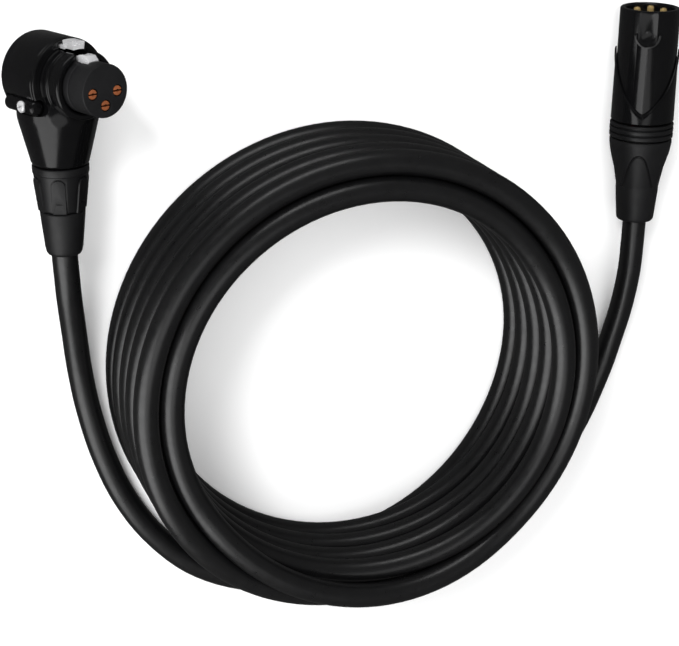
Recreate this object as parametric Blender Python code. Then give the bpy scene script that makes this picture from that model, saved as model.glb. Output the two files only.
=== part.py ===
"""Coiled XLR microphone cable: right-angle female plug, ten-turn coil, straight male plug.

The coil lies flat on the floor with its axis along +Z and the male plug points along +Y.
Shapes are written in millimetres in their own plug's axes and scaled to metres at the end.
"""
import math

import bmesh
import bpy
from mathutils import Matrix, Vector

MM = 0.001
GAP = 0.3                       # clearance kept between neighbouring pieces

# Coil axis on the floor, set so that the whole object is centred on the origin.
COIL_AXIS = Vector((-5.102, -12.449, 0.0))

# Cable and coil.
CABLE_R = 4.0
INNER_TURN_R = 66.5
OUTER_TURN_R = 74.7
TURN_PITCH = 9.4
TURNS_DEEP = 5
COIL_TOP = 2 * CABLE_R + TURN_PITCH * (TURNS_DEEP - 1)
BESIDE_COIL_R = OUTER_TURN_R + 2 * CABLE_R + 1.0
ON_FLOOR = CABLE_R + 0.05
ON_FIRST_TURN = CABLE_R + TURN_PITCH

# Right-angle female plug: X across, +Z out of the mating face, the cable leaves along -Y.
ELBOW_PLACE = Vector((-92.0, 100.8, 14.36))
ELBOW_ROLL = math.radians(24.0)
DRUM_R = 12.7
DRUM_BACK = -10.0
DRUM_FRONT = 6.5
CORE_BORE_R = 8.6
INSERT_R = 7.8
INSERT_FRONT = 24.0
NECK_END = 25.8
CLAMP_BAR_SPOT = (-11.2, -6.6, 0.0)
SCREW_HEIGHT = 0.9
CONTACT_SPOTS = ((-4.3, -0.4), (4.3, -0.4), (0.0, -4.2))
RIB_COUNT = 6

# Straight male plug: +Z out of the mating rim, +Y towards the key.
MALE_PLACE = Vector((106.85, 111.4, 10.8))
MALE_ROLL = math.radians(-31.0)
SHELL_R = 9.9
SOCKET_R = 8.1
SOCKET_DEPTH = 15.0
SLEEVE_R = 10.55
SLEEVE_TIP = -13.5
SLEEVE_SCALLOP = -34.3
SLEEVE_END = -37.8
RING_END = -43.6
SHELL_END = -37.4

BLACK_GLOSS = (0.012, 0.012, 0.013)
BLACK_SATIN = (0.020, 0.020, 0.021)
NATURAL_NYLON = (0.75, 0.74, 0.70)
SILVER = (0.78, 0.78, 0.80)
COPPER = (0.80, 0.42, 0.20)
PALE_GOLD = (0.85, 0.68, 0.36)
WIRE_COLORS = {"shield": (0.62, 0.36, 0.22), "hot": (0.65, 0.05, 0.04), "cold": (0.85, 0.85, 0.83)}

# Turns a shape made about Z so that its +Z runs along -Y.
ALONG_CABLE = Matrix.Rotation(math.radians(90.0), 4, "X")


# ---------------------------------------------------------------- scene helpers
def clear_scene():
    for item in list(bpy.data.objects):
        bpy.data.objects.remove(item, do_unlink=True)


def make_material(name, color, roughness, metallic=0.0):
    material = bpy.data.materials.new(name)
    material.use_nodes = True
    shader = material.node_tree.nodes["Principled BSDF"]
    shader.inputs["Base Color"].default_value = (*color, 1.0)
    shader.inputs["Roughness"].default_value = roughness
    shader.inputs["Metallic"].default_value = metallic
    return material


def new_object(name, data):
    item = bpy.data.objects.new(name, data)
    bpy.context.scene.collection.objects.link(item)
    return item


def axes_empty(name, place_mm, turn):
    """Empty that carries the pieces of one plug, on the axis that its nut or boot turns about."""
    empty = new_object(name, None)
    empty.matrix_world = Matrix.Translation(place_mm * MM) @ turn
    return empty


# ---------------------------------------------------------------- shape helpers
def mesh_object(name, shape):
    """Object from a bmesh in millimetres, merged and with its faces pointing out."""
    bmesh.ops.remove_doubles(shape, verts=shape.verts, dist=1e-4)
    loose = [edge for edge in shape.edges if not edge.link_faces]
    bmesh.ops.delete(shape, geom=loose, context="EDGES")
    bmesh.ops.recalc_face_normals(shape, faces=shape.faces)
    mesh = bpy.data.meshes.new(name)
    shape.to_mesh(mesh)
    shape.free()
    return new_object(name, mesh)


def lathe(name, outline, sides=32):
    """Closed (radius, height) outline spun about Z."""
    shape = bmesh.new()
    corners = [shape.verts.new((radius, 0.0, height)) for radius, height in outline]
    edges = []
    for start, end in zip(corners, corners[1:] + corners[:1]):
        if start.co.x > 0.0 or end.co.x > 0.0:
            edges.append(shape.edges.new((start, end)))
    bmesh.ops.spin(shape, geom=corners + edges, axis=(0.0, 0.0, 1.0), cent=(0.0, 0.0, 0.0),
                   angle=2 * math.pi, steps=sides, use_merge=True)
    return mesh_object(name, shape)


def rod(name, *profile, sides=32):
    """Solid turned piece from (radius, height) pairs, closed on the axis at both ends."""
    return lathe(name, [(0.0, profile[0][1]), *profile, (0.0, profile[-1][1])], sides)


def box(name, low, high):
    """Block between two corners."""
    size = Vector(high) - Vector(low)
    middle = (Vector(high) + Vector(low)) / 2
    shape = bmesh.new()
    bmesh.ops.create_cube(shape, size=1.0, matrix=Matrix.Translation(middle) @ Matrix.Diagonal((*size, 1.0)))
    return mesh_object(name, shape)


def prism(name, loop, low, high):
    """Closed (x, y) loop extruded between two heights."""
    shape = bmesh.new()
    base = shape.faces.new([shape.verts.new((x, y, low)) for x, y in loop])
    extruded = bmesh.ops.extrude_face_region(shape, geom=[base])["geom"]
    raised = [part for part in extruded if isinstance(part, bmesh.types.BMVert)]
    bmesh.ops.translate(shape, verts=raised, vec=(0.0, 0.0, high - low))
    return mesh_object(name, shape)


def oblong_loop(half_width, half_length, steps=5):
    """Loop of a slot shape: straight sides along Y with half-round ends."""
    loop = []
    straight = half_length - half_width
    for end in (1, -1):
        for step in range(steps + 1):
            turn = math.pi * step / steps
            loop.append((end * half_width * math.cos(turn), end * (straight + half_width * math.sin(turn))))
    return loop


def move(item, matrix):
    item.data.transform(matrix)
    return item


def shift(item, x, y, z=0.0):
    return move(item, Matrix.Translation((x, y, z)))


def combine(target, tools, operation):
    """Boolean each tool into the target and drop the tool."""
    for tool in tools:
        change = target.modifiers.new(operation, "BOOLEAN")
        change.operation = operation
        change.solver = "EXACT"
        change.object = tool
        graph = bpy.context.evaluated_depsgraph_get()
        result = bpy.data.meshes.new_from_object(target.evaluated_get(graph))
        target.modifiers.clear()
        target.data = result
        bpy.data.objects.remove(tool, do_unlink=True)
    return target


def cut(target, *tools):
    return combine(target, tools, "DIFFERENCE")


def join(target, *tools):
    return combine(target, tools, "UNION")


def finish(item, carrier, color, roughness, metallic=0.0):
    """Scale a piece to metres, shade and colour it, and hang it on its plug's axes."""
    item.data.transform(Matrix.Scale(MM, 4))
    item.data.materials.clear()
    item.data.materials.append(make_material(item.name, color, roughness, metallic))
    if item.type == "MESH":
        item.data.shade_smooth()
        item.data.set_sharp_from_angle(angle=math.radians(35.0))
    item.parent = carrier
    return item


def smooth_path(knots, spacing):
    """Points at even spacing along a Catmull-Rom curve through the knots."""
    knots = [Vector(knot) for knot in knots]
    padded = [2 * knots[0] - knots[1], *knots, 2 * knots[-1] - knots[-2]]
    dense = []
    for first in range(len(padded) - 3):
        a, b, c, d = padded[first:first + 4]
        for step in range(40):
            t = step / 40
            dense.append(0.5 * (2 * b + (c - a) * t + (2 * a - 5 * b + 4 * c - d) * t ** 2
                                + (3 * b - a - 3 * c + d) * t ** 3))
    dense.append(knots[-1])
    lengths = [0.0]
    for before, after in zip(dense, dense[1:]):
        lengths.append(lengths[-1] + (after - before).length)
    count = max(2, round(lengths[-1] / spacing))
    points = []
    place = 0
    for index in range(count + 1):
        wanted = lengths[-1] * index / count
        while place < len(dense) - 2 and lengths[place + 1] < wanted:
            place += 1
        part = (wanted - lengths[place]) / (lengths[place + 1] - lengths[place])
        points.append(dense[place].lerp(dense[place + 1], min(1.0, part)))
    return points


def tube(name, points, radius, resolution=4):
    """Round bevelled curve along points, with filled caps."""
    curve = bpy.data.curves.new(name, "CURVE")
    curve.dimensions = "3D"
    curve.bevel_depth = radius
    curve.bevel_resolution = resolution
    curve.use_fill_caps = True
    curve.render_resolution_u = 0
    spline = curve.splines.new("POLY")
    spline.points.add(len(points) - 1)
    for spot, point in zip(spline.points, points):
        spot.co = (*point, 1.0)
    return new_object(name, curve)


def on_circle(radius, degrees, height):
    turn = math.radians(degrees)
    return (radius * math.cos(turn), radius * math.sin(turn), height)


# ---------------------------------------------------------------- coil and tails
def build_coil(carrier):
    """Outer shape of the wound turns: a ring with a rounded-square section."""
    outline = []
    low = CABLE_R
    high = COIL_TOP - CABLE_R
    for radius, height, start in ((OUTER_TURN_R, low, -90), (OUTER_TURN_R, high, 0),
                                  (INNER_TURN_R, high, 90), (INNER_TURN_R, low, 180)):
        for step in range(4):
            turn = math.radians(start + 30 * step)
            outline.append((radius + CABLE_R * math.cos(turn), height + CABLE_R * math.sin(turn)))
    finish(lathe("cable_coil", outline, sides=56), carrier, BLACK_SATIN, 0.42)


def build_tails(carrier):
    """Cable from each plug's clamp to the place where it lies against the coil."""
    x, y, z = ELBOW_PLACE
    route = [(x, y - 15.5, z), (x, y - 35.0, z), (x, y - 55.0, z), (-91.4, 38.0, 13.2), (-90.9, 32.0, 12.0),
             (-89.2, 19.0, 8.4), (-87.3, 4.5, 5.0), (-84.9, -10.0, ON_FLOOR)]
    for radius, degrees in ((85.0, -162), (85.9, -150), (87.3, -138), (88.6, -125), (88.0, -112), (85.6, -99)):
        route.append(on_circle(radius, degrees, ON_FLOOR))
    for degrees in range(-86, -20, 13):
        route.append(on_circle(BESIDE_COIL_R, degrees, ON_FLOOR))
    finish(tube("cable_elbow_tail", smooth_path(route, 14.0), CABLE_R), carrier, BLACK_SATIN, 0.42)

    x, y, z = MALE_PLACE
    route = [on_circle(BESIDE_COIL_R, -84, ON_FIRST_TURN), on_circle(86.6, -74, ON_FIRST_TURN - 0.2),
             on_circle(90.6, -62, 11.6), on_circle(95.6, -48, 7.4), on_circle(98.9, -35, 4.8),
             (92.8, -40.0, 4.1), (100.9, -21.0, 4.1), (104.3, -8.0, 5.0), (106.3, 5.0, 7.2), (106.95, 19.0, 9.7),
             (x, 30.0, 10.6), (x, y - 76.5, z), (x, y - 58.0, z), (x, y - 41.0, z)]
    finish(tube("cable_male_tail", smooth_path(route, 14.0), CABLE_R), carrier, BLACK_SATIN, 0.42)


# ---------------------------------------------------------------- right-angle female plug
def build_elbow_housing(carrier):
    """Drum and tapered neck, bored for the insert, the cable, the latch and the clamp bar."""
    housing = rod("elbow_housing", (DRUM_R - 0.8, DRUM_BACK), (DRUM_R, DRUM_BACK + 0.8),
                  (DRUM_R, DRUM_FRONT - 0.7), (DRUM_R - 0.7, DRUM_FRONT), sides=40)
    join(housing, move(rod("neck", (6.0, 3.0), (12.0, 7.0), (12.1, 11.5), (8.5, NECK_END)), ALONG_CABLE))
    core_bore = rod("core_bore", (CORE_BORE_R, -8.4), (CORE_BORE_R, 30.0))
    cable_bore = rod("cable_bore", (6.2, 0.0), (6.2, 20.0), (6.9, 20.0), (6.9, 40.0), sides=24)
    groove = rod("bar_groove", (2.6, -8.6), (2.6, 14.0), sides=20)
    latch_slot = box("latch_slot", (-3.4, 7.5, -3.0), (3.4, 11.7, 9.0))
    cut(housing, core_bore, move(cable_bore, ALONG_CABLE), latch_slot, shift(groove, *CLAMP_BAR_SPOT))
    finish(housing, carrier, BLACK_GLOSS, 0.22)


def build_elbow_front(carrier):
    """Stepped collar, insert and three socket contacts."""
    start = DRUM_FRONT + GAP
    collar = lathe("elbow_collar", [
        (8.25, 3.0), (8.25, 14.9), (9.6, 14.9), (10.2, 14.2), (10.2, 10.6), (9.7, 10.2), (9.7, 9.6),
        (10.2, 9.2), (10.2, start), (8.4, start), (8.4, 3.0)], sides=36)
    neck_room = rod("neck_room", (6.4, 2.0), (12.5, 6.3), (12.6, 11.5), (9.0, NECK_END))
    cut(collar, box("latch_way", (-3.4, 6.0, 0.0), (3.4, 12.0, 20.0)), move(neck_room, ALONG_CABLE))
    finish(collar, carrier, BLACK_GLOSS, 0.18)

    insert = rod("elbow_insert", (INSERT_R, -1.0), (INSERT_R, INSERT_FRONT - 0.4),
                 (INSERT_R - 0.4, INSERT_FRONT), sides=36)
    for x, y in CONTACT_SPOTS:
        cut(insert, shift(rod("contact_hole", (1.75, -3.0), (1.75, 30.0), sides=16), x, y))
    cut(insert, box("catch_slot", (-2.6, 3.8, 12.4), (2.6, 9.0, 19.4)))
    finish(insert, carrier, BLACK_SATIN, 0.55)

    face = INSERT_FRONT - 0.2
    for number, (x, y) in enumerate(CONTACT_SPOTS, start=1):
        contact = lathe(f"elbow_contact_{number}", [
            (0.0, -4.6), (1.0, -4.6), (1.0, -1.6), (1.45, -1.2), (1.45, face), (0.7, face),
            (0.7, face - 11.0), (0.0, face - 11.5)], sides=16)
        finish(shift(contact, x, y), carrier, COPPER, 0.3, 1.0)


def build_elbow_latch(carrier):
    """Push button on the drum, the catch it pulls in, and the leaf under the catch."""
    button = box("elbow_latch_button", (-2.6, 10.0, -2.4), (2.6, 11.3, 7.4))
    pad_loop = [(-2.6, 10.0), (2.6, 10.0), (2.6, 11.9), (1.9, 12.5), (-1.9, 12.5), (-2.6, 11.9)]
    join(button, prism("pad", pad_loop, 7.0, 12.6))
    finish(button, carrier, SILVER, 0.28, 1.0)

    side_view = [(-12.9, 5.9), (-18.9, 5.9), (-18.9, 7.9), (-17.4, 9.2), (-14.6, 9.2), (-12.9, 8.6)]
    catch = move(prism("elbow_latch_catch", side_view, -2.2, 2.2), Matrix.Rotation(math.radians(90.0), 4, "Y"))
    finish(catch, carrier, SILVER, 0.25, 1.0)

    finish(box("elbow_latch_leaf", (-1.8, 4.1, 12.8), (1.8, 4.4, 19.0)), carrier, SILVER, 0.3, 1.0)


def build_elbow_clamp(carrier):
    """Side bar with its cross-head screw, and the nylon chuck around the cable."""
    screw_seat = (Matrix.Translation((CLAMP_BAR_SPOT[0], CLAMP_BAR_SPOT[1], SCREW_HEIGHT))
                  @ Matrix.Rotation(math.radians(-90.0), 4, "Y"))
    bar = rod("elbow_clamp_bar", (1.4, -8.2), (2.3, -7.3), (2.3, 5.5), (1.4, 6.4), sides=20)
    hole = rod("screw_hole", (1.05, -1.4), (1.05, 1.3), (1.95, 1.3), (1.95, 6.0), sides=16)
    cut(shift(bar, *CLAMP_BAR_SPOT), move(hole, screw_seat))
    finish(bar, carrier, BLACK_GLOSS, 0.22)

    screw = rod("elbow_screw", (0.75, -1.0), (0.75, 1.55), (1.65, 1.55), (1.65, 2.4), (1.2, 2.7), sides=16)
    cut(screw, box("slot", (-1.2, -0.2, 2.2), (1.2, 0.2, 4.0)), box("cross_slot", (-0.2, -1.2, 2.2), (0.2, 1.2, 4.0)))
    finish(move(screw, screw_seat), carrier, SILVER, 0.25, 1.0)

    chuck = lathe("elbow_chuck", [(4.3, 13.5), (5.5, 13.5), (5.5, 29.0), (5.0, 30.5), (4.3, 30.5)], sides=24)
    finish(move(chuck, ALONG_CABLE), carrier, NATURAL_NYLON, 0.5)


def build_elbow_gland(carrier):
    """Ribbed nut that closes the chuck, and the rubber boot behind it."""
    start_r = 8.5
    end_r = 7.0
    start = NECK_END + GAP
    nut = lathe("elbow_gland_nut", [
        (5.85, 21.5), (6.6, 21.5), (6.6, start), (start_r, start), (start_r, 28.0), (end_r, 39.4), (6.6, 39.9),
        (4.6, 39.9), (4.6, 33.5), (5.85, 32.0)], sides=36)
    slope = math.atan2(start_r - end_r, 39.4 - 28.0)
    rib_seat = Matrix.Translation((6.95, 0.0, 33.4)) @ Matrix.Rotation(-slope, 4, "Y")
    stand_up = Matrix(((0, 0, 1, 0), (1, 0, 0, 0), (0, 1, 0, 0), (0, 0, 0, 1)))
    for index in range(RIB_COUNT):
        around = Matrix.Rotation(math.radians(360 / RIB_COUNT * index + 11), 4, "Z")
        join(nut, move(prism("rib", oblong_loop(2.0, 5.6), 0.0, 1.0), around @ rib_seat @ stand_up))
    finish(move(nut, ALONG_CABLE), carrier, BLACK_SATIN, 0.38)

    boot = lathe("elbow_boot", [
        (4.3, 40.2), (6.9, 40.2), (5.75, 52.0), (5.4, 53.4), (4.9, 54.0), (4.55, 54.0)], sides=32)
    finish(move(boot, ALONG_CABLE), carrier, BLACK_SATIN, 0.5)


def build_elbow_wires(carrier):
    """Three cores from the contacts' solder ends round into the cable."""
    for kind, (x, y), height in zip(WIRE_COLORS, CONTACT_SPOTS, (0.6, 0.6, -1.4)):
        route = [(x, y, -5.3), (x, y, -5.9), (x * 0.8, y - 0.4 * (y + 7.4), -6.8), (x * 0.44, -7.3, -5.2),
                 (x * 0.4, -10.0, height - 3.6), (x * 0.4, -13.4, height), (x * 0.4, -14.9, height)]
        finish(tube(f"elbow_wire_{kind}", smooth_path(route, 2.0), 0.7, 2), carrier, WIRE_COLORS[kind], 0.5)


# ---------------------------------------------------------------- straight male plug
def scalloped_tube(name, sides=72):
    """Thin sleeve whose front edge rises to a point on each side and bows down over and under."""
    shape = bmesh.new()
    rows = []
    for radius, at_front in ((SHELL_R + GAP, True), (SLEEVE_R + 0.05, True), (SLEEVE_R, False),
                             (SHELL_R + GAP, False)):
        row = []
        for step in range(sides):
            turn = 2 * math.pi * step / sides
            from_key = abs(math.degrees(math.asin(math.cos(turn)))) / 90.0
            front = SLEEVE_SCALLOP + (SLEEVE_TIP - SLEEVE_SCALLOP) * from_key ** 1.35
            height = front if at_front else SLEEVE_END
            row.append(shape.verts.new((radius * math.cos(turn), radius * math.sin(turn), height)))
        rows.append(row)
    for row, following in zip(rows, rows[1:] + rows[:1]):
        for step in range(sides):
            after = (step + 1) % sides
            shape.faces.new((row[step], row[after], following[after], following[step]))
    return mesh_object(name, shape)


def build_male_front(carrier):
    """Shell with its key recess, insert and three pins."""
    shell = lathe("male_shell", [
        (SOCKET_R, -0.3), (SOCKET_R + 0.3, 0.0), (SHELL_R - 0.3, 0.0), (SHELL_R, -0.3), (SHELL_R, SHELL_END),
        (SOCKET_R, SHELL_END)], sides=40)
    recess = shift(prism("key_recess", oblong_loop(2.9, 5.6, steps=8), 0.0, 4.0), 0.0, -4.3)
    cut(shell, move(recess, Matrix.Translation((0.0, SHELL_R + 3.35, 0.0)) @ ALONG_CABLE))
    finish(shell, carrier, BLACK_GLOSS, 0.18)

    insert = rod("male_insert", (SOCKET_R - GAP, -27.0), (SOCKET_R - GAP, -SOCKET_DEPTH))
    for x, y in CONTACT_SPOTS:
        cut(insert, shift(rod("pin_hole", (1.5, -30.0), (1.5, -10.0), sides=16), x, y))
    finish(insert, carrier, BLACK_SATIN, 0.6)

    for number, (x, y) in enumerate(CONTACT_SPOTS, start=1):
        pin = rod(f"male_pin_{number}", (1.0, -31.0), (1.18, -30.8), (1.18, -1.2), (0.9, -0.5), (0.4, -0.2),
                  sides=16)
        finish(shift(pin, x, y), carrier, PALE_GOLD, 0.25, 1.0)


def build_male_back(carrier):
    """Scalloped sleeve, seal ring, screw-on boot, chuck and the three cores."""
    finish(scalloped_tube("male_sleeve"), carrier, BLACK_GLOSS, 0.22)

    front = SLEEVE_END - 0.6
    ring = lathe("male_ring", [
        (7.4, front), (10.4, front), (10.7, front - 0.3), (10.7, RING_END + 0.3), (10.4, RING_END),
        (7.4, RING_END)], sides=36)
    finish(ring, carrier, BLACK_SATIN, 0.35)

    start = RING_END - 0.5
    boot = lathe("male_boot", [
        (6.9, start), (10.2, start), (10.5, start - 0.4), (10.3, start - 2.5), (9.35, start - 8.1),
        (7.7, start - 15.5), (7.2, start - 16.5), (6.8, start - 22.9), (6.35, start - 27.9), (5.8, start - 28.8),
        (4.55, start - 28.8), (4.3, start - 14.4), (6.9, start - 12.9)], sides=36)
    finish(boot, carrier, BLACK_SATIN, 0.42)

    chuck = lathe("male_chuck", [(4.3, -39.6), (6.5, -39.6), (6.5, -54.5), (5.6, -56.5), (4.3, -56.5)], sides=24)
    finish(chuck, carrier, NATURAL_NYLON, 0.5)

    for kind, (x, y) in zip(WIRE_COLORS, CONTACT_SPOTS):
        route = [(x, y, -31.4), (x * 0.8, y * 0.8, -35.0), (x * 0.4, y * 0.4, -40.4)]
        finish(tube(f"male_wire_{kind}", smooth_path(route, 2.6), 0.7, 2), carrier, WIRE_COLORS[kind], 0.5)


def male_turn():
    """Turn that puts the plug's +Z along +Y and rolls its key by MALE_ROLL from upright."""
    key = Vector((math.sin(MALE_ROLL), 0.0, math.cos(MALE_ROLL)))
    out = Vector((0.0, 1.0, 0.0))
    return Matrix((key.cross(out), key, out)).transposed().to_4x4()


def build():
    clear_scene()
    coil_axes = axes_empty("coil_axes", COIL_AXIS, Matrix.Identity(4))
    build_coil(coil_axes)
    build_tails(coil_axes)

    elbow_axes = axes_empty("elbow_axes", ELBOW_PLACE + COIL_AXIS, Matrix.Rotation(ELBOW_ROLL, 4, "Y"))
    for build_group in (build_elbow_housing, build_elbow_front, build_elbow_latch, build_elbow_clamp,
                        build_elbow_gland, build_elbow_wires):
        build_group(elbow_axes)

    male_axes = axes_empty("male_axes", MALE_PLACE + COIL_AXIS, male_turn())
    build_male_front(male_axes)
    build_male_back(male_axes)


build()
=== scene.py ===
"""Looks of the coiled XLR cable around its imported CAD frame.

Shapes are written in millimetres: the cable from the coil's axis, each plug in its own axes.
They are scaled to metres when they are placed.
"""
import math

import bmesh
import bpy
from mathutils import Matrix, Vector

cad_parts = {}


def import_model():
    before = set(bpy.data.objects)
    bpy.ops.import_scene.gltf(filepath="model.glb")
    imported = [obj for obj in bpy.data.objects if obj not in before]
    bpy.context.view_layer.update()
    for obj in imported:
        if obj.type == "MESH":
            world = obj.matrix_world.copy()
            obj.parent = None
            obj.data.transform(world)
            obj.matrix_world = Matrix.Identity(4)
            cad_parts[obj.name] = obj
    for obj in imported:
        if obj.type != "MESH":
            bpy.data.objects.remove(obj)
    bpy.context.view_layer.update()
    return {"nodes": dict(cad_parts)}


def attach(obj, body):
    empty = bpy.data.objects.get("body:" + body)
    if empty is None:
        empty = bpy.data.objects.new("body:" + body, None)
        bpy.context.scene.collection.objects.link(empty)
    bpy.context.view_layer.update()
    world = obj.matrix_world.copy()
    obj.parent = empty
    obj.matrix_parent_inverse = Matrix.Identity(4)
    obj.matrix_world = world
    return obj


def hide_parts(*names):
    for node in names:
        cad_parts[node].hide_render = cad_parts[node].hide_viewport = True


MM = 0.001
COIL_AXIS = Vector((-5.102, -12.449, 0.0))
ROOT = "cable_and_plugs"

# Cable and coil, as in the CAD.
CABLE_R = 4.0
INNER_TURN_R = 66.5
OUTER_TURN_R = 74.7
TURN_PITCH = 9.4
BESIDE_COIL_R = 83.7
ON_FLOOR = 4.05
ON_FIRST_TURN = CABLE_R + TURN_PITCH
WAVER = 0.5                     # how far a turn rises and dips between its neighbours

# Where the turns change place, in degrees run along the winding from the elbow's side.
FIRST_TURN_IN = (-21, 21)
OUTER_TO_INNER = (230, 350)
INNER_STEP_UP = (564, 684)
TOP_CROSSING = (2010, 2110)
OUTER_STEP_DOWN = (2358, 2478)
LAST_TURN_OUT = (3452, 3488)
TOP_HUMP = 3.0                  # rise of the crossing turn over the turns that trade places under it

ELBOW_PLACE = Vector((-92.0, 100.8, 14.36))
ELBOW_ROLL = math.radians(24.0)
MALE_PLACE = Vector((106.85, 111.4, 10.8))
MALE_ROLL = math.radians(-31.0)
CONTACT_SPOTS = ((-4.3, -0.4), (4.3, -0.4), (0.0, -4.2))
NECK_END = 25.8
CLAMP_BAR_SPOT = (-11.2, -6.6, 0.0)
SCREW_HEIGHT = 0.9
RIB_COUNT = 6
SHELL_R = 9.9
SLEEVE_R = 10.55
SLEEVE_TIP = -13.5
SLEEVE_SCALLOP = -34.3
SLEEVE_END = -37.8
SHELL_END = -37.4
RING_END = -43.6
BOOT_START = -44.1
BOOT_ARCH = -48.3               # highest point of an arch in the male boot, on the plug's axis
BOOT_TONGUE = -59.8

# Turns a shape made about Z so that its +Z runs along -Y.
ALONG_CABLE = Matrix.Rotation(math.radians(90.0), 4, "X")


def male_axes():
    """Plug axes: +Z out of the rim along +Y, +Y towards the key."""
    key = Vector((math.sin(MALE_ROLL), 0.0, math.cos(MALE_ROLL)))
    out = Vector((0.0, 1.0, 0.0))
    return Matrix((key.cross(out), key, out)).transposed().to_4x4()


IN_COIL = Matrix.Scale(MM, 4) @ Matrix.Translation(COIL_AXIS)
IN_ELBOW = IN_COIL @ Matrix.Translation(ELBOW_PLACE) @ Matrix.Rotation(ELBOW_ROLL, 4, "Y")
IN_MALE = IN_COIL @ Matrix.Translation(MALE_PLACE) @ male_axes()


# ---------------------------------------------------------------- camera, floor and light
def add_camera():
    """Camera at the photograph's viewing angle, looking down on the coil from one side."""
    right = (0.94089, 0.0124, 0.33848)
    down = (-0.10788, -0.9363, 0.33421)
    ahead = (0.32106, -0.35097, -0.87962)
    data = bpy.data.cameras.new("view")
    data.sensor_width = 36.0
    data.lens = 89.348
    data.clip_start = 0.01
    camera = bpy.data.objects.new("view", data)
    axes = Matrix((right, [-x for x in down], [-x for x in ahead])).transposed().to_4x4()
    camera.matrix_world = Matrix.Translation((-0.185502, 0.195471, 0.50155)) @ axes
    bpy.context.scene.collection.objects.link(camera)
    bpy.context.scene.camera = camera
    bpy.context.scene.view_settings.view_transform = "Standard"


def add_floor():
    shape = bmesh.new()
    bmesh.ops.create_grid(shape, x_segments=1, y_segments=1, size=4.0)
    floor = place_mesh("floor", shape, Matrix.Identity(4))
    material, shader = new_material("floor_paper", (0.93, 0.93, 0.93), 0.75)
    shader.inputs["Specular IOR Level"].default_value = 0.1
    floor.data.materials.append(material)
    floor.visible_glossy = False


def add_panel(name, place, size, power, reflected):
    """Rectangular soft light aimed at the coil. reflected says whether glossy pieces mirror it."""
    data = bpy.data.lights.new(name, "AREA")
    data.shape = "RECTANGLE"
    data.size, data.size_y = size
    data.energy = power
    light = bpy.data.objects.new(name, data)
    light.location = place
    light.rotation_euler = (Vector((0.0, 0.0, 0.0)) - Vector(place)).to_track_quat("-Z", "Y").to_euler()
    light.visible_glossy = reflected
    bpy.context.scene.collection.objects.link(light)


def add_lights():
    world = bpy.data.worlds.new("studio")
    world.use_nodes = True
    world.node_tree.nodes["Background"].inputs["Color"].default_value = (1.0, 1.0, 1.0, 1.0)
    world.node_tree.nodes["Background"].inputs["Strength"].default_value = 0.07
    bpy.context.scene.world = world
    add_panel("key_panel", (-0.9, 0.9, 1.1), (0.6, 0.6), 30.0, False)
    add_panel("overhead_fill", (0.1, 0.1, 1.6), (2.6, 2.6), 34.0, False)
    add_panel("left_panel", (-1.03, -0.64, 0.72), (1.4, 1.2), 9.0, True)
    add_panel("back_panel", (-0.25, 1.4, 0.45), (1.0, 0.5), 2.3, True)
    add_panel("top_panel", (-0.3, -0.3, 1.1), (0.8, 0.8), 1.2, True)


# ---------------------------------------------------------------- materials
def new_material(name, color, roughness, metallic=0.0):
    material = bpy.data.materials.new(name)
    material.use_nodes = True
    shader = material.node_tree.nodes["Principled BSDF"]
    shader.inputs["Base Color"].default_value = (*color, 1.0)
    shader.inputs["Roughness"].default_value = roughness
    shader.inputs["Metallic"].default_value = metallic
    return material, shader


def noise(tree, scale, detail, stretch=(1.0, 1.0, 1.0)):
    """Noise in the row frame's metres, scale in cells per metre."""
    place = tree.nodes.new("ShaderNodeTexCoord")
    mapping = tree.nodes.new("ShaderNodeMapping")
    mapping.inputs["Scale"].default_value = stretch
    texture = tree.nodes.new("ShaderNodeTexNoise")
    texture.inputs["Scale"].default_value = scale
    texture.inputs["Detail"].default_value = detail
    tree.links.new(place.outputs["Object"], mapping.inputs["Vector"])
    tree.links.new(mapping.outputs["Vector"], texture.inputs["Vector"])
    return texture.outputs["Fac"]


def ranged(tree, value, low, high):
    """Maps the middle of a noise value to a low and a high number."""
    step = tree.nodes.new("ShaderNodeMapRange")
    step.inputs["From Min"].default_value = 0.3
    step.inputs["From Max"].default_value = 0.7
    step.inputs["To Min"].default_value = low
    step.inputs["To Max"].default_value = high
    tree.links.new(value, step.inputs["Value"])
    return step.outputs["Result"]


def surface(name, color, roughness, metallic=0.0, grain=9000.0, depth=0.00001, vary=0.12, rough_vary=0.05,
            stretch=(1.0, 1.0, 1.0), specular=0.5):
    """Moulded, rubbery or metal finish: patchy colour, uneven gloss and a fine grain."""
    material, shader = new_material(name, color, roughness, metallic)
    tree = material.node_tree
    shader.inputs["Specular IOR Level"].default_value = specular

    patches = noise(tree, 160.0, 3.0)
    mix = tree.nodes.new("ShaderNodeMix")
    mix.data_type = "RGBA"
    mix.inputs["A"].default_value = (*[channel * (1 - vary) for channel in color], 1.0)
    mix.inputs["B"].default_value = (*[min(1.0, channel * (1 + vary)) for channel in color], 1.0)
    tree.links.new(ranged(tree, patches, 0.0, 1.0), mix.inputs["Factor"])
    tree.links.new(mix.outputs["Result"], shader.inputs["Base Color"])

    gloss = noise(tree, 420.0, 4.0, stretch)
    tree.links.new(ranged(tree, gloss, roughness - rough_vary, roughness + rough_vary), shader.inputs["Roughness"])

    bump = tree.nodes.new("ShaderNodeBump")
    bump.inputs["Strength"].default_value = 1.0
    bump.inputs["Distance"].default_value = depth
    tree.links.new(noise(tree, grain, 2.0, stretch), bump.inputs["Height"])
    tree.links.new(bump.outputs["Normal"], shader.inputs["Normal"])
    return material


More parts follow.
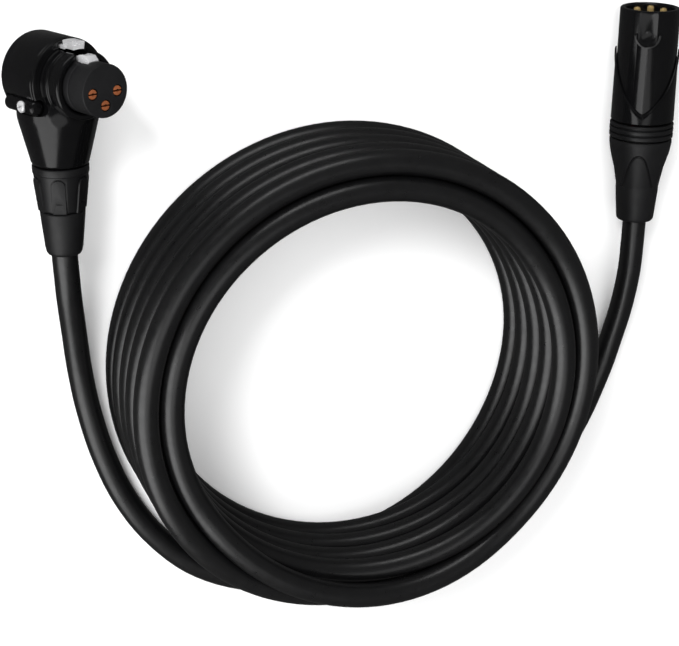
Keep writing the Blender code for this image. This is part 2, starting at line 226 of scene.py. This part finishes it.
def make_materials():
    return {
        "jacket": surface("cable_jacket_pvc", (0.0032, 0.0032, 0.0034), 0.32, grain=5200.0, depth=0.000012,
                          specular=1.0),
        "gloss": surface("gloss_black_plastic", (0.0022, 0.0022, 0.0024), 0.16, grain=2600.0, depth=0.000004,
                         rough_vary=0.03),
        "satin": surface("satin_black_plastic", (0.0045, 0.0045, 0.0048), 0.38, grain=7000.0, depth=0.00001),
        "matte": surface("insert_plastic", (0.0065, 0.0065, 0.007), 0.55, grain=9000.0, depth=0.000012),
        "silver": surface("plated_steel", (0.60, 0.60, 0.61), 0.24, 0.45, grain=5000.0, depth=0.000004,
                          vary=0.05, stretch=(1.0, 6.0, 1.0)),
        "copper": surface("copper_contact", (0.27, 0.085, 0.033), 0.30, 0.35, grain=6000.0, depth=0.000006, vary=0.08),
        "gold": surface("pale_gold_pin", (0.56, 0.40, 0.17), 0.22, 0.7, grain=6000.0, depth=0.000003, vary=0.06),
        "rubber": surface("boot_rubber", (0.005, 0.005, 0.0053), 0.44, grain=8000.0, depth=0.000014),
        "nylon": surface("natural_nylon", (0.70, 0.68, 0.62), 0.50, vary=0.06),
        "shield": surface("bare_copper_shield", (0.62, 0.34, 0.20), 0.40, 1.0, grain=12000.0, depth=0.00003),
        "hot": surface("red_core", (0.60, 0.04, 0.03), 0.45, vary=0.1),
        "cold": surface("white_core", (0.80, 0.80, 0.78), 0.45, vary=0.05),
    }


# ---------------------------------------------------------------- shape helpers
def place_mesh(name, shape, matrix):
    """Object from a bmesh, moved by matrix, with clean faces and soft shading."""
    bmesh.ops.remove_doubles(shape, verts=shape.verts, dist=1e-4)
    loose = [edge for edge in shape.edges if not edge.link_faces]
    bmesh.ops.delete(shape, geom=loose, context="EDGES")
    bmesh.ops.recalc_face_normals(shape, faces=shape.faces)
    mesh = bpy.data.meshes.new(name)
    shape.to_mesh(mesh)
    shape.free()
    mesh.transform(matrix)
    item = bpy.data.objects.new(name, mesh)
    bpy.context.scene.collection.objects.link(item)
    return soften(item)


def soften(item):
    item.data.shade_smooth()
    item.data.set_sharp_from_angle(angle=math.radians(38.0))
    return item


def rounded(outline, radius, steps=3, closed=True):
    """The outline again, with each corner rounded as far as its edges allow."""
    corners = [Vector(point) for point in outline]
    result = []
    for index, corner in enumerate(corners):
        if not closed and index in (0, len(corners) - 1):
            result.append(tuple(corner))
            continue
        before = corners[index - 1] - corner
        after = corners[(index + 1) % len(corners)] - corner
        reach = min(radius, 0.45 * before.length, 0.45 * after.length)
        start = corner + before.normalized() * reach
        end = corner + after.normalized() * reach
        for step in range(steps + 1):
            part = step / steps
            result.append(tuple(start.lerp(corner, part).lerp(corner.lerp(end, part), part)))
    return result


def revolve(name, outline, matrix, sides=96):
    """Closed (radius, height) outline spun about Z."""
    shape = bmesh.new()
    corners = [shape.verts.new((max(0.0, radius), 0.0, height)) for radius, height in outline]
    edges = []
    for start, end in zip(corners, corners[1:] + corners[:1]):
        if start.co.x > 0.0 or end.co.x > 0.0:
            edges.append(shape.edges.new((start, end)))
    bmesh.ops.spin(shape, geom=corners + edges, axis=(0.0, 0.0, 1.0), cent=(0.0, 0.0, 0.0),
                   angle=2 * math.pi, steps=sides, use_merge=True)
    return place_mesh(name, shape, matrix)


def turned(name, profile, matrix, sides=96, edge=0.4):
    """Solid turned piece from (radius, height) pairs, its corners rounded, closed on the axis."""
    outline = [(0.0, profile[0][1]), *profile, (0.0, profile[-1][1])]
    return revolve(name, rounded(outline, edge, closed=False), matrix, sides)


def plate(name, loop, low, high, matrix):
    """Closed (x, y) loop extruded between two heights."""
    shape = bmesh.new()
    base = shape.faces.new([shape.verts.new((x, y, low)) for x, y in loop])
    extruded = bmesh.ops.extrude_face_region(shape, geom=[base])["geom"]
    raised = [part for part in extruded if isinstance(part, bmesh.types.BMVert)]
    bmesh.ops.translate(shape, verts=raised, vec=(0.0, 0.0, high - low))
    return place_mesh(name, shape, matrix)


def block(name, low, high, matrix):
    loop = [(low[0], low[1]), (high[0], low[1]), (high[0], high[1]), (low[0], high[1])]
    return plate(name, loop, low[2], high[2], matrix)


def oblong_loop(half_width, half_length, steps=8):
    """Loop of a slot shape: straight sides along Y with half-round ends."""
    loop = []
    straight = half_length - half_width
    for end in (1, -1):
        for step in range(steps + 1):
            turn = math.pi * step / steps
            loop.append((end * half_width * math.cos(turn), end * (straight + half_width * math.sin(turn))))
    return loop


def arch_loop(half_width, top, bottom=6.0, steps=8):
    """Loop of an arch shape along Y: a half-round top and straight legs down to the bottom."""
    loop = [(half_width, bottom), (-half_width, bottom)]
    for step in range(steps + 1):
        turn = math.pi * step / steps
        loop.append((-half_width * math.cos(turn), top + half_width - half_width * math.sin(turn)))
    return loop


def apply_modifiers(item):
    graph = bpy.context.evaluated_depsgraph_get()
    result = bpy.data.meshes.new_from_object(item.evaluated_get(graph))
    item.modifiers.clear()
    item.data = result


def combine(target, operation, tools):
    for tool in tools:
        change = target.modifiers.new(operation, "BOOLEAN")
        change.operation = operation
        change.solver = "EXACT"
        change.object = tool
        apply_modifiers(target)
        bpy.data.objects.remove(tool, do_unlink=True)
    return target


def cut(target, *tools):
    return combine(target, "DIFFERENCE", tools)


def join(target, *tools):
    return combine(target, "UNION", tools)


def ease_edges(item, width):
    """Round the sharp edges by width in millimetres."""
    bevel = item.modifiers.new("edges", "BEVEL")
    bevel.width = width * MM
    bevel.segments = 2
    bevel.limit_method = "ANGLE"
    bevel.angle_limit = math.radians(40.0)
    bevel.use_clamp_overlap = True
    bevel.harden_normals = False
    apply_modifiers(item)
    return soften(item)


def finish_piece(item, material, body, *nodes):
    """Give a piece its finish and its body, and let it stand for its CAD nodes."""
    item.data.materials.clear()
    item.data.materials.append(material)
    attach(item, body)
    if nodes:
        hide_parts(*nodes)
    return item


# ---------------------------------------------------------------- the cable
def on_circle(radius, degrees, height):
    turn = math.radians(degrees)
    return (radius * math.cos(turn), radius * math.sin(turn), height)


def ease(value, zone):
    """0 before the zone, 1 after it, and a smooth change in between."""
    part = min(1.0, max(0.0, (value - zone[0]) / (zone[1] - zone[0])))
    return 0.5 - 0.5 * math.cos(math.pi * part)


def on_winding(degrees):
    """Centre of the cable at a place along the ten turns."""
    radius = BESIDE_COIL_R
    radius -= (BESIDE_COIL_R - OUTER_TURN_R) * ease(degrees, FIRST_TURN_IN)
    radius -= (OUTER_TURN_R - INNER_TURN_R) * ease(degrees, OUTER_TO_INNER)
    radius += (OUTER_TURN_R - INNER_TURN_R) * ease(degrees, TOP_CROSSING)
    radius += (BESIDE_COIL_R - OUTER_TURN_R) * ease(degrees, LAST_TURN_OUT)
    height = ON_FLOOR
    for turn in range(4):
        height += TURN_PITCH * ease(degrees - 360 * turn, INNER_STEP_UP)
    for turn in range(3):
        height -= TURN_PITCH * ease(degrees - 360 * turn, OUTER_STEP_DOWN)
    crossing = (degrees - TOP_CROSSING[0]) / (TOP_CROSSING[1] - TOP_CROSSING[0])
    if 0.0 < crossing < 1.0:
        height += TOP_HUMP * math.sin(math.pi * crossing)
    in_stack = ease(degrees, (690, 790)) * (1 - ease(degrees, (3180, 3400)))
    height += WAVER * in_stack * math.sin(math.radians(2.5 * degrees))
    return on_circle(radius, degrees, height)


def smooth_path(knots, spacing):
    """Points at even spacing along a Catmull-Rom curve through the knots."""
    knots = [Vector(knot) for knot in knots]
    padded = [2 * knots[0] - knots[1], *knots, 2 * knots[-1] - knots[-2]]
    dense = []
    for first in range(len(padded) - 3):
        a, b, c, d = padded[first:first + 4]
        for step in range(24):
            t = step / 24
            dense.append(0.5 * (2 * b + (c - a) * t + (2 * a - 5 * b + 4 * c - d) * t ** 2
                                + (3 * b - a - 3 * c + d) * t ** 3))
    dense.append(knots[-1])
    lengths = [0.0]
    for before, after in zip(dense, dense[1:]):
        lengths.append(lengths[-1] + (after - before).length)
    count = max(2, round(lengths[-1] / spacing))
    points = []
    place = 0
    for index in range(count + 1):
        wanted = lengths[-1] * index / count
        while place < len(dense) - 2 and lengths[place + 1] < wanted:
            place += 1
        part = (wanted - lengths[place]) / (lengths[place + 1] - lengths[place])
        points.append(dense[place].lerp(dense[place + 1], min(1.0, part)))
    return points


def cable_route():
    """Elbow's tail down to the floor, the winding, and the male plug's tail."""
    x, y, z = ELBOW_PLACE
    route = [(x, y - 32.0, z), (x, y - 43.0, z), (x, y - 55.0, z), (-91.4, 38.0, 13.2), (-90.9, 32.0, 12.0),
             (-89.2, 19.0, 8.4), (-87.3, 4.5, 5.0), (-84.9, -10.0, ON_FLOOR)]
    for radius, degrees in ((85.0, -162), (85.9, -150), (87.3, -138), (88.6, -125), (88.0, -112), (85.6, -99)):
        route.append(on_circle(radius, degrees, ON_FLOOR))
    for degrees in range(-86, 3510, 8):
        route.append(on_winding(degrees))

    x, y, z = MALE_PLACE
    route += [on_circle(BESIDE_COIL_R, -84, ON_FIRST_TURN), on_circle(86.6, -74, ON_FIRST_TURN - 0.2),
              on_circle(90.6, -62, 11.6), on_circle(95.6, -48, 7.4), on_circle(98.9, -35, 4.8),
              (92.8, -40.0, 4.1), (100.9, -21.0, 4.1), (104.3, -8.0, 5.0), (106.3, 5.0, 7.2),
              (106.95, 19.0, 9.7), (x, 30.0, 10.6), (x, y - 76.5, z), (x, y - 66.0, z), (x, y - 56.0, z)]
    return smooth_path(route, 4.0)


def add_cable(material):
    points = cable_route()
    curve = bpy.data.curves.new("cable", "CURVE")
    curve.dimensions = "3D"
    curve.bevel_depth = CABLE_R * MM
    curve.bevel_resolution = 9
    curve.use_fill_caps = True
    curve.render_resolution_u = 0
    spline = curve.splines.new("POLY")
    spline.points.add(len(points) - 1)
    for spot, point in zip(spline.points, points):
        spot.co = (*(IN_COIL @ point), 1.0)
    cable = bpy.data.objects.new("cable", curve)
    bpy.context.scene.collection.objects.link(cable)
    finish_piece(cable, material, ROOT, "cable_coil", "cable_elbow_tail", "cable_male_tail")


# ---------------------------------------------------------------- right-angle female plug
def build_elbow_shell(look):
    """Drum with a rounded rim and the neck that flares from it, hollow for the insert and the cable."""
    drum = [(0.0, -10.0), (12.7, -10.0), (12.7, 4.9), (12.45, 5.2), (12.7, 5.5), (12.7, 6.5), (0.0, 6.5)]
    shell = revolve("elbow_shell", rounded(drum, 0.7, closed=False), IN_ELBOW, sides=128)
    neck = [(0.0, 2.0), (8.6, 2.0), (11.6, 6.2), (12.15, 8.4), (12.1, 11.5), (8.5, NECK_END), (0.0, NECK_END)]
    join(shell, revolve("neck", rounded(neck, 0.9, closed=False), IN_ELBOW @ ALONG_CABLE, sides=128))
    hollow = turned("hollow", [(8.6, -8.4), (8.6, 30.0)], IN_ELBOW)
    cable_way = turned("cable_way", [(6.2, 0.0), (6.2, 20.0), (6.9, 20.0), (6.9, 40.0)], IN_ELBOW @ ALONG_CABLE)
    bar_seat = turned("bar_seat", [(2.6, -8.6), (2.6, 14.0)], IN_ELBOW @ Matrix.Translation(CLAMP_BAR_SPOT), 48)
    latch_way = block("latch_way", (-3.4, 7.5, -3.0), (3.4, 11.7, 9.0), IN_ELBOW)
    cut(shell, hollow, cable_way, bar_seat, latch_way)
    ease_edges(shell, 0.22)
    finish_piece(shell, look["gloss"], ROOT, "elbow_housing")


def build_elbow_front(look):
    """Stepped collar, insert with its three contacts, and the latch's slot."""
    collar = [(8.25, 3.0), (8.25, 14.6), (8.7, 14.9), (9.7, 14.9), (10.2, 14.4), (10.2, 10.6), (9.6, 10.3),
              (9.6, 9.7), (10.2, 9.4), (10.2, 7.6), (10.5, 6.8), (8.4, 6.8), (8.4, 3.0)]
    collar = revolve("elbow_front_collar", rounded(collar, 0.25), IN_ELBOW)
    neck_room = [(6.4, 2.0), (9.2, 2.2), (12.0, 6.2), (12.45, 8.4), (12.4, 11.5), (9.0, NECK_END)]
    cut(collar, block("latch_way", (-3.4, 6.0, 0.0), (3.4, 12.0, 20.0), IN_ELBOW),
        turned("neck_room", neck_room, IN_ELBOW @ ALONG_CABLE))
    finish_piece(ease_edges(collar, 0.12), look["gloss"], ROOT, "elbow_collar")

    insert = turned("elbow_front_insert", [(7.8, -1.0), (7.8, 16.2), (7.66, 16.5), (7.66, 16.9), (7.8, 17.2),
                                           (7.8, 24.0)], IN_ELBOW, edge=0.35)
    for x, y in CONTACT_SPOTS:
        cut(insert, turned("hole", [(1.75, -3.0), (1.75, 30.0)], IN_ELBOW @ Matrix.Translation((x, y, 0.0)), 48))
    cut(insert, block("catch_way", (-2.6, 3.8, 12.4), (2.6, 9.0, 19.4), IN_ELBOW))
    finish_piece(ease_edges(insert, 0.12), look["matte"], ROOT, "elbow_insert")

    for number, (x, y) in enumerate(CONTACT_SPOTS, start=1):
        spot = IN_ELBOW @ Matrix.Translation((x, y, 0.0))
        contact = turned(f"elbow_socket_{number}", [(1.0, -4.6), (1.0, -1.6), (1.45, -1.2), (1.45, 23.95)],
                         spot, 48, edge=0.25)
        cut(contact, turned("bore", [(0.45, 14.0), (0.45, 30.0)], spot, 24),
            block("split", (-2.0, -0.26, 20.5), (2.0, 0.26, 30.0), spot))
        finish_piece(ease_edges(contact, 0.08), look["copper"], ROOT, f"elbow_contact_{number}")


def arc_plate_loop(low_r, high_r, half_angle, steps=10):
    """Loop of a plate bent about the axis, standing over +Y."""
    loop = []
    for radius, order in ((high_r, 1), (low_r, -1)):
        for step in range(steps + 1):
            turn = math.radians(order * (half_angle - 2 * half_angle * step / steps))
            loop.append((radius * math.sin(turn), radius * math.cos(turn)))
    return loop


def build_elbow_latch(look):
    """Thumb pad with a ribbed top on its stem, and the stepped catch in front of it."""
    pad = plate("latch_thumb_pad", arc_plate_loop(10.2, 12.5, 10.0), 7.0, 11.9, IN_ELBOW)
    join(pad, plate("stem", arc_plate_loop(10.1, 11.2, 13.0), -2.3, 8.0, IN_ELBOW))
    for step in range(3):
        place = 8.0 + 1.2 * step
        cut(pad, plate("grip", arc_plate_loop(12.25, 13.5, 8.0), place, place + 0.4, IN_ELBOW))
    finish_piece(ease_edges(pad, 0.22), look["silver"], "latch_button", "elbow_latch_button")

    side_view = [(-12.9, 5.9), (-18.9, 5.9), (-18.9, 7.9), (-17.4, 9.2), (-14.6, 9.2), (-12.9, 8.6)]
    catch = plate("latch_catch_tooth", side_view, -1.8, 1.8,
                  IN_ELBOW @ Matrix.Rotation(math.radians(90.0), 4, "Y"))
    cut(catch, block("notch", (-0.5, 8.3, 12.0), (0.9, 10.0, 15.6), IN_ELBOW))
    finish_piece(ease_edges(catch, 0.2), look["silver"], "latch_catch", "elbow_latch_catch")


def build_elbow_clamp(look):
    """Rounded side bar with its cross-head screw and an oval stop."""
    spot = IN_ELBOW @ Matrix.Translation(CLAMP_BAR_SPOT)
    facing_out = Matrix.Rotation(math.radians(-90.0), 4, "Y")
    screw_seat = spot @ Matrix.Translation((0.0, 0.0, SCREW_HEIGHT)) @ facing_out
    bar = turned("clamp_side_bar", [(1.5, -8.2), (2.3, -7.4), (2.3, 5.6), (1.5, 6.4)], spot, 64, edge=1.0)
    cut(bar, turned("screw_hole", [(1.05, -1.4), (1.05, 1.3), (1.95, 1.3), (1.95, 6.0)], screw_seat, 40, edge=0.05))
    stop_seat = spot @ Matrix.Translation((0.0, 0.0, 4.2)) @ facing_out
    join(bar, plate("stop", oblong_loop(0.8, 1.4), 0.0, 2.5, stop_seat))
    cut(bar, plate("stop_dip", oblong_loop(0.4, 1.0), 2.25, 4.0, stop_seat))
    finish_piece(ease_edges(bar, 0.15), look["gloss"], ROOT, "elbow_clamp_bar")

    screw = turned("clamp_screw", [(0.75, -1.0), (0.75, 1.55), (1.75, 1.55), (1.75, 2.4), (1.2, 2.75)], screw_seat, 40,
                   edge=0.25)
    cross = screw_seat @ Matrix.Rotation(math.radians(20.0), 4, "Z")
    cut(screw, block("slot", (-1.3, -0.22, 2.15), (1.3, 0.22, 4.0), cross),
        block("cross_slot", (-0.22, -1.3, 2.15), (0.22, 1.3, 4.0), cross))
    finish_piece(ease_edges(screw, 0.06), look["silver"], ROOT, "elbow_screw")


def build_elbow_gland(look):
    """Nut with outlined oblong ribs, and the tapered rubber boot behind it."""
    axis = IN_ELBOW @ ALONG_CABLE
    nut = [(5.85, 21.5), (6.6, 21.5), (6.6, 26.1), (8.55, 26.1), (8.5, 28.3), (8.3, 28.5), (7.0, 39.4), (6.7, 39.9),
           (4.6, 39.9), (4.6, 33.5), (5.85, 32.0)]
    nut = revolve("gland_nut", rounded(nut, 0.3), axis, 128)
    slope = math.atan2(8.35 - 7.0, 39.4 - 29.0)
    stand_up = Matrix(((0, 0, 1, 0), (1, 0, 0, 0), (0, 1, 0, 0), (0, 0, 0, 1)))
    for index in range(RIB_COUNT):
        around = axis @ Matrix.Rotation(math.radians(360 / RIB_COUNT * index + 11), 4, "Z")
        seat = around @ Matrix.Translation((7.66, 0.0, 34.4)) @ Matrix.Rotation(-slope, 4, "Y") @ stand_up
        cut(nut, plate("moat", arch_loop(2.35, -5.6), -0.5, 2.0, seat))
        join(nut, plate("rib", arch_loop(1.95, -5.2), -0.9, 0.1, seat))
        cut(nut, plate("dash", [(-0.9, 2.2), (0.9, 2.2), (0.9, 2.5), (-0.9, 2.5)], -0.15, 1.0, seat))
    cut(nut, turned("beyond_end", [(9.0, 39.9), (9.0, 44.0)], axis))
    finish_piece(ease_edges(nut, 0.12), look["satin"], "elbow_gland", "elbow_gland_nut")

    boot = [(4.3, 40.2), (6.6, 40.2), (6.9, 40.5), (5.8, 51.4), (5.45, 53.2), (4.9, 54.0), (4.5, 54.0)]
    finish_piece(revolve("elbow_rubber_boot", rounded(boot, 0.5), axis), look["rubber"], "elbow_gland", "elbow_boot")


# ---------------------------------------------------------------- straight male plug
def wrapped_shell(name, outline_at, matrix, sides=144):
    """Closed ring of faces whose (radius, height) outline changes with the angle round +Z."""
    shape = bmesh.new()
    rows = []
    for step in range(sides):
        turn = 2 * math.pi * step / sides
        row = []
        for radius, height in outline_at(turn):
            row.append(shape.verts.new((radius * math.cos(turn), radius * math.sin(turn), height)))
        rows.append(row)
    for row, following in zip(rows, rows[1:] + rows[:1]):
        for index in range(len(row)):
            after = (index + 1) % len(row)
            shape.faces.new((row[index], row[after], following[after], following[index]))
    return place_mesh(name, shape, matrix)


def sleeve_outline(turn):
    """Sleeve with a raised lip along its scalloped front edge."""
    from_key = abs(math.degrees(math.asin(math.cos(turn)))) / 90.0
    front = SLEEVE_SCALLOP + (SLEEVE_TIP - SLEEVE_SCALLOP) * from_key ** 1.35
    back = SLEEVE_END
    outer = [(SHELL_R + 0.2, front), (SLEEVE_R - 0.25, front + 0.05), (SLEEVE_R + 0.1, front - 0.25),
             (SLEEVE_R + 0.18, front - 0.7), (SLEEVE_R - 0.05, front - 1.0), (SLEEVE_R - 0.27, front - 1.25)]
    wall = []
    for step in range(1, 9):
        wall.append((SLEEVE_R - 0.22 + 0.2 * step / 9, front - 1.25 + (back + 0.5 - front + 1.25) * step / 9))
    return outer + wall + [(SLEEVE_R, back + 0.3), (SLEEVE_R - 0.3, back), (SHELL_R + 0.2, back)]


def arch_fall(share):
    """How far down an arch's edge has come, 0 at its top and 1 halfway to the next arch."""
    if share < 0.31:
        return 1.4 * share ** 2
    if share < 0.85:
        return 0.134 + 1.42 * (share - 0.31)
    return 1.0 - 4.4 * (1.0 - share) ** 2


def boot_outline(turn):
    """Tapered boot: the lower sleeve runs up into four arches cut in the upper cone."""
    start = BOOT_START
    outline = [(10.2, start), (10.45, start - 0.25), (10.5, start - 0.7), (10.42, start - 1.6), (10.3, start - 2.5)]
    from_arch = (math.degrees(turn) % 90.0) / 45.0
    edge = BOOT_ARCH + (BOOT_TONGUE - BOOT_ARCH) * arch_fall(min(from_arch, 2.0 - from_arch))
    steps = 90
    for step in range(1, steps + 1):
        height = start - 2.5 + (-62.0 - start + 2.5) * step / steps
        radius = 10.3 - 2.5 * min(1.0, (start - 2.5 - height) / 14.0) ** 1.05
        below = min(1.0, max(0.0, (edge - height) / 0.45))
        radius -= 0.6 * below * below * (3 - 2 * below)
        crease = max(0.0, 1.0 - abs(edge - 0.6 - height) / 0.45)
        radius -= 0.3 * crease
        outline.append((max(radius, 7.0 - 0.03 * (-60.6 - height)), height))
    outline += [(6.8, -67.0), (6.35, -72.0), (6.15, -72.6), (5.8, -72.9), (4.5, -72.9), (4.3, -58.5), (6.9, -57.0),
                (6.9, start)]
    return outline


def build_male_front(look):
    """Shell with its key channel and crescent lip, and the three pins."""
    rim = [(8.1, -0.5), (8.5, 0.0), (9.5, 0.0), (9.9, -0.45), (9.9, SHELL_END), (8.1, SHELL_END)]
    shell = revolve("male_front_shell", rounded(rim, 0.2), IN_MALE, 144)
    key_seat = IN_MALE @ Matrix.Translation((0.0, 13.25, 0.0)) @ ALONG_CABLE
    lip_seat = IN_MALE @ Matrix.Translation((0.0, 10.22, 0.0)) @ ALONG_CABLE
    lip = plate("lip", [(x, y - 5.0) for x, y in oblong_loop(4.3, 7.0, 14)], 0.0, 0.9, lip_seat)
    open_top = [(x, y - 5.0) for x, y in oblong_loop(3.6, 6.4, 14)]
    cut(lip, plate("lip_hole", open_top, -1.0, 3.0, lip_seat),
        block("above", (-6.0, 6.0, -7.4), (6.0, 12.0, 2.0), IN_MALE))
    join(shell, lip)
    channel = [(x, y - 4.3) for x, y in oblong_loop(2.9, 5.6, 14)]
    cut(shell, plate("channel", channel, 0.0, 4.0, key_seat))
    nub_seat = IN_MALE @ Matrix.Translation((0.0, 9.7, -6.4)) @ ALONG_CABLE
    join(shell, plate("nub", [(-0.75, -0.6), (0.75, -0.6), (0.0, 0.75)], 0.0, 0.9, nub_seat))
    finish_piece(ease_edges(shell, 0.1), look["gloss"], ROOT, "male_shell")

    for number, (x, y) in enumerate(CONTACT_SPOTS, start=1):
        pin = turned(f"male_contact_{number}", [(1.0, -31.0), (1.18, -30.8), (1.18, -1.0), (0.95, -0.45), (0.5, -0.2)],
                     IN_MALE @ Matrix.Translation((x, y, 0.0)), 40, edge=0.3)
        finish_piece(pin, look["gold"], ROOT, f"male_pin_{number}")


def build_male_back(look):
    """Scalloped sleeve, grooved seal ring and the arched boot."""
    finish_piece(wrapped_shell("male_grip_sleeve", sleeve_outline, IN_MALE), look["gloss"], ROOT, "male_sleeve")
    front = SLEEVE_END - 0.6
    ring = [(7.4, front), (10.3, front)]
    for groove in (-39.7, -41.7):
        ring += [(10.7, groove + 0.9), (10.7, groove + 0.3), (9.9, groove + 0.2), (9.9, groove - 0.25), (10.7, groove - 0.35)]
    ring += [(10.7, RING_END + 0.3), (10.3, RING_END), (7.4, RING_END)]
    finish_piece(revolve("male_seal_ring", rounded(ring, 0.2), IN_MALE), look["satin"], ROOT, "male_ring")
    finish_piece(wrapped_shell("male_arched_boot", boot_outline, IN_MALE, 240), look["rubber"], "male_bushing",
                 "male_boot")


def dress_hidden_nodes(nodes, look):
    """The CAD nodes that stay: inner pieces seen only through the mouths of the plugs."""
    kinds = {"elbow_chuck": "nylon", "male_chuck": "nylon", "male_insert": "matte", "elbow_latch_leaf": "silver"}
    for plug in ("elbow", "male"):
        for core in ("shield", "hot", "cold"):
            kinds[f"{plug}_wire_{core}"] = core
    for name, kind in kinds.items():
        nodes[name].data.materials.clear()
        nodes[name].data.materials.append(look[kind])


def build():
    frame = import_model()
    add_camera()
    look = make_materials()
    for build_group in (build_elbow_shell, build_elbow_front, build_elbow_latch, build_elbow_clamp,
                        build_elbow_gland, build_male_front, build_male_back):
        build_group(look)
    dress_hidden_nodes(frame["nodes"], look)
    add_cable(look["jacket"])
    add_floor()
    add_lights()


build()
